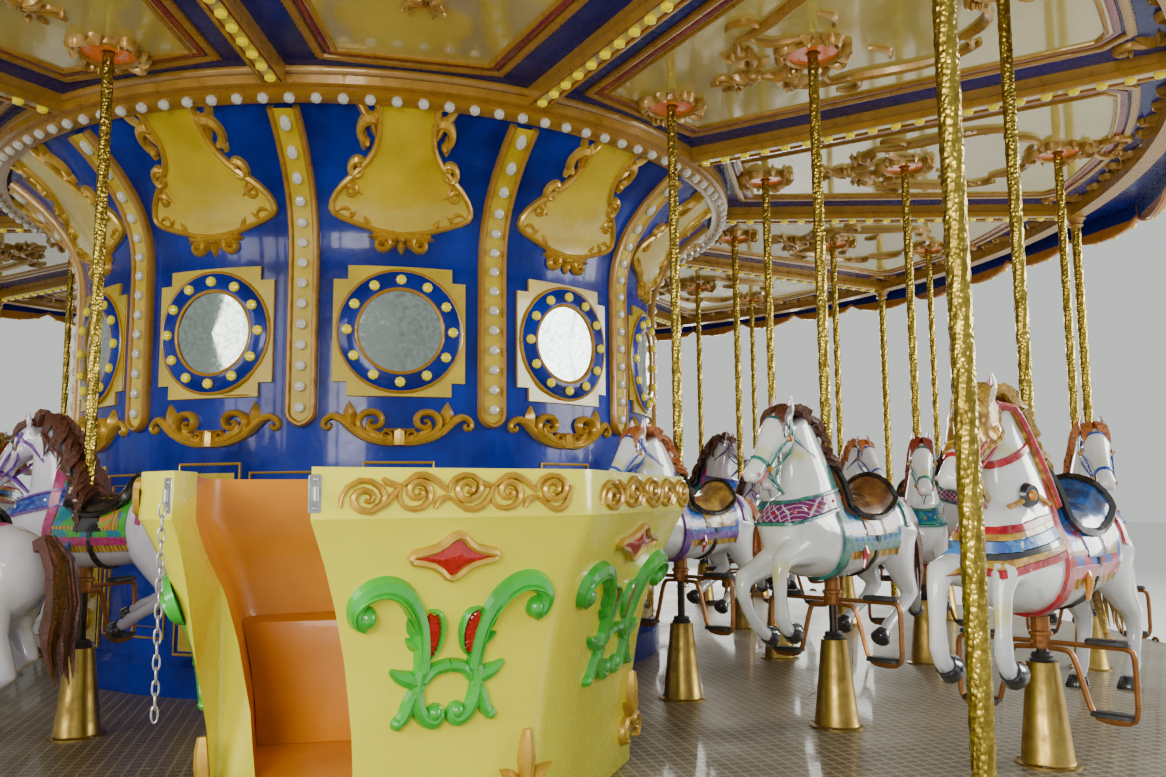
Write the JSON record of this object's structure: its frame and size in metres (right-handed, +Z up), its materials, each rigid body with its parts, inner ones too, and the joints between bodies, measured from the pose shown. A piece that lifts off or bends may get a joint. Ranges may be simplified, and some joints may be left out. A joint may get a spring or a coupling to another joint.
{
  "type": "fairground carousel",
  "caption": "Galloper carousel: turning deck, flared centre drum, ceiling with sweeps, canopy, rising horses on poles and fixed chariot tubs.",
  "frame": {"origin": "on the ground, on the vertical turning axis", "axes": "+Z up; -Y through the middle of the bay with the front chariot"},
  "size_m": [11.3, 11.3, 6.5203],
  "materials": {
    "base_steel": "satin",
    "tread_plate": "satin",
    "blue_gloss": "gloss",
    "yellow_gloss": "gloss",
    "cream_gloss": "gloss",
    "gold_paint": "satin",
    "gold_moulding": "satin",
    "brass_tube": "polished",
    "orange_gloss": "gloss",
    "horse_gloss": "gloss",
    "roof_skin": "satin"
  },
  "bodies": {
    "base": {"base_pedestal": "base_steel"},
    "turntable": {"slewing_ring": "base_steel", "deck_sector_1": "tread_plate", "deck_sector_2": "tread_plate", "deck_sector_3": "tread_plate", "deck_sector_4": "tread_plate", "deck_sector_5": "tread_plate", "deck_sector_6": "tread_plate", "deck_skirt": "blue_gloss", "drum_base": "blue_gloss", "drum_neck": "blue_gloss", "drum_cove": "blue_gloss", "pilasters": "yellow_gloss", "sweeps": "gold_paint", "ceiling": "cream_gloss", "outer_posts": "brass_tube", "rounding_boards": "gold_moulding", "roof_canopy": "roof_skin", "roof_finial": "gold_moulding", "chariot_front_tub": "yellow_gloss", "chariot_front_bench": "orange_gloss", "chariot_rear_tub": "yellow_gloss", "chariot_rear_bench": "orange_gloss"},
    "horse_inner_01": {"horse_inner_01": "horse_gloss"},
    "horse_middle_01": {"horse_middle_01": "horse_gloss"},
    "horse_outer_01": {"horse_outer_01": "horse_gloss"},
    "horse_inner_02": {"horse_inner_02": "horse_gloss"},
    "horse_middle_02": {"horse_middle_02": "horse_gloss"},
    "horse_outer_02": {"horse_outer_02": "horse_gloss"},
    "horse_inner_03": {"horse_inner_03": "horse_gloss"},
    "horse_middle_03": {"horse_middle_03": "horse_gloss"},
    "horse_outer_03": {"horse_outer_03": "horse_gloss"},
    "horse_inner_04": {"horse_inner_04": "horse_gloss"},
    "horse_middle_04": {"horse_middle_04": "horse_gloss"},
    "horse_outer_04": {"horse_outer_04": "horse_gloss"},
    "horse_inner_05": {"horse_inner_05": "horse_gloss"},
    "horse_middle_05": {"horse_middle_05": "horse_gloss"},
    "horse_outer_05": {"horse_outer_05": "horse_gloss"},
    "horse_inner_07": {"horse_inner_07": "horse_gloss"},
    "horse_middle_07": {"horse_middle_07": "horse_gloss"},
    "horse_outer_07": {"horse_outer_07": "horse_gloss"},
    "horse_inner_08": {"horse_inner_08": "horse_gloss"},
    "horse_middle_08": {"horse_middle_08": "horse_gloss"},
    "horse_outer_08": {"horse_outer_08": "horse_gloss"},
    "horse_inner_09": {"horse_inner_09": "horse_gloss"},
    "horse_middle_09": {"horse_middle_09": "horse_gloss"},
    "horse_outer_09": {"horse_outer_09": "horse_gloss"},
    "horse_inner_10": {"horse_inner_10": "horse_gloss"},
    "horse_middle_10": {"horse_middle_10": "horse_gloss"},
    "horse_outer_10": {"horse_outer_10": "horse_gloss"},
    "horse_inner_11": {"horse_inner_11": "horse_gloss"},
    "horse_middle_11": {"horse_middle_11": "horse_gloss"},
    "horse_outer_11": {"horse_outer_11": "horse_gloss"}
  },
  "joints": [
    {"name": "turntable_spin", "type": "hinge", "parent": "base", "child": "turntable", "pos_m": [0, 0, 0.2], "axis": [0, 0, -1], "continuous": true},
    {"name": "horse_inner_01_lift", "type": "slide", "parent": "turntable", "child": "horse_inner_01", "axis": [0, 0, 1], "range_m": [-0.165, 0.135]},
    {"name": "horse_middle_01_lift", "type": "slide", "parent": "turntable", "child": "horse_middle_01", "axis": [0, 0, 1], "range_m": [-0.105, 0.195]},
    {"name": "horse_outer_01_lift", "type": "slide", "parent": "turntable", "child": "horse_outer_01", "axis": [0, 0, 1], "range_m": [0, 0.3]},
    {"name": "horse_inner_02_lift", "type": "slide", "parent": "turntable", "child": "horse_inner_02", "axis": [0, 0, 1], "range_m": [-0.15, 0.15]},
    {"name": "horse_middle_02_lift", "type": "slide", "parent": "turntable", "child": "horse_middle_02", "axis": [0, 0, 1], "range_m": [-0.045, 0.255]},
    {"name": "horse_outer_02_lift", "type": "slide", "parent": "turntable", "child": "horse_outer_02", "axis": [0, 0, 1], "range_m": [0, 0.3]},
    {"name": "horse_inner_03_lift", "type": "slide", "parent": "turntable", "child": "horse_inner_03", "axis": [0, 0, 1], "range_m": [0, 0.3]},
    {"name": "horse_middle_03_lift", "type": "slide", "parent": "turntable", "child": "horse_middle_03", "axis": [0, 0, 1], "range_m": [-0.15, 0.15]},
    {"name": "horse_outer_03_lift", "type": "slide", "parent": "turntable", "child": "horse_outer_03", "axis": [0, 0, 1], "range_m": [-0.09, 0.21]},
    {"name": "horse_inner_04_lift", "type": "slide", "parent": "turntable", "child": "horse_inner_04", "axis": [0, 0, 1], "range_m": [-0.15, 0.15]},
    {"name": "horse_middle_04_lift", "type": "slide", "parent": "turntable", "child": "horse_middle_04", "axis": [0, 0, 1], "range_m": [-0.3, 0]},
    {"name": "horse_outer_04_lift", "type": "slide", "parent": "turntable", "child": "horse_outer_04", "axis": [0, 0, 1], "range_m": [0, 0.3]},
    {"name": "horse_inner_05_lift", "type": "slide", "parent": "turntable", "child": "horse_inner_05", "axis": [0, 0, 1], "range_m": [-0.3, 0]},
    {"name": "horse_middle_05_lift", "type": "slide", "parent": "turntable", "child": "horse_middle_05", "axis": [0, 0, 1], "range_m": [0, 0.3]},
    {"name": "horse_outer_05_lift", "type": "slide", "parent": "turntable", "child": "horse_outer_05", "axis": [0, 0, 1], "range_m": [-0.15, 0.15]},
    {"name": "horse_inner_07_lift", "type": "slide", "parent": "turntable", "child": "horse_inner_07", "axis": [0, 0, 1], "range_m": [-0.15, 0.15]},
    {"name": "horse_middle_07_lift", "type": "slide", "parent": "turntable", "child": "horse_middle_07", "axis": [0, 0, 1], "range_m": [0, 0.3]},
    {"name": "horse_outer_07_lift", "type": "slide", "parent": "turntable", "child": "horse_outer_07", "axis": [0, 0, 1], "range_m": [-0.3, 0]},
    {"name": "horse_inner_08_lift", "type": "slide", "parent": "turntable", "child": "horse_inner_08", "axis": [0, 0, 1], "range_m": [0, 0.3]},
    {"name": "horse_middle_08_lift", "type": "slide", "parent": "turntable", "child": "horse_middle_08", "axis": [0, 0, 1], "range_m": [-0.3, 0]},
    {"name": "horse_outer_08_lift", "type": "slide", "parent": "turntable", "child": "horse_outer_08", "axis": [0, 0, 1], "range_m": [-0.15, 0.15]},
    {"name": "horse_inner_09_lift", "type": "slide", "parent": "turntable", "child": "horse_inner_09", "axis": [0, 0, 1], "range_m": [-0.15, 0.15]},
    {"name": "horse_middle_09_lift", "type": "slide", "parent": "turntable", "child": "horse_middle_09", "axis": [0, 0, 1], "range_m": [0, 0.3]},
    {"name": "horse_outer_09_lift", "type": "slide", "parent": "turntable", "child": "horse_outer_09", "axis": [0, 0, 1], "range_m": [-0.3, 0]},
    {"name": "horse_inner_10_lift", "type": "slide", "parent": "turntable", "child": "horse_inner_10", "axis": [0, 0, 1], "range_m": [0, 0.3]},
    {"name": "horse_middle_10_lift", "type": "slide", "parent": "turntable", "child": "horse_middle_10", "axis": [0, 0, 1], "range_m": [-0.15, 0.15]},
    {"name": "horse_outer_10_lift", "type": "slide", "parent": "turntable", "child": "horse_outer_10", "axis": [0, 0, 1], "range_m": [-0.3, 0]},
    {"name": "horse_inner_11_lift", "type": "slide", "parent": "turntable", "child": "horse_inner_11", "axis": [0, 0, 1], "range_m": [-0.195, 0.105]},
    {"name": "horse_middle_11_lift", "type": "slide", "parent": "turntable", "child": "horse_middle_11", "axis": [0, 0, 1], "range_m": [0, 0.3]},
    {"name": "horse_outer_11_lift", "type": "slide", "parent": "turntable", "child": "horse_outer_11", "axis": [0, 0, 1], "range_m": [-0.15, 0.15]}
  ]
}
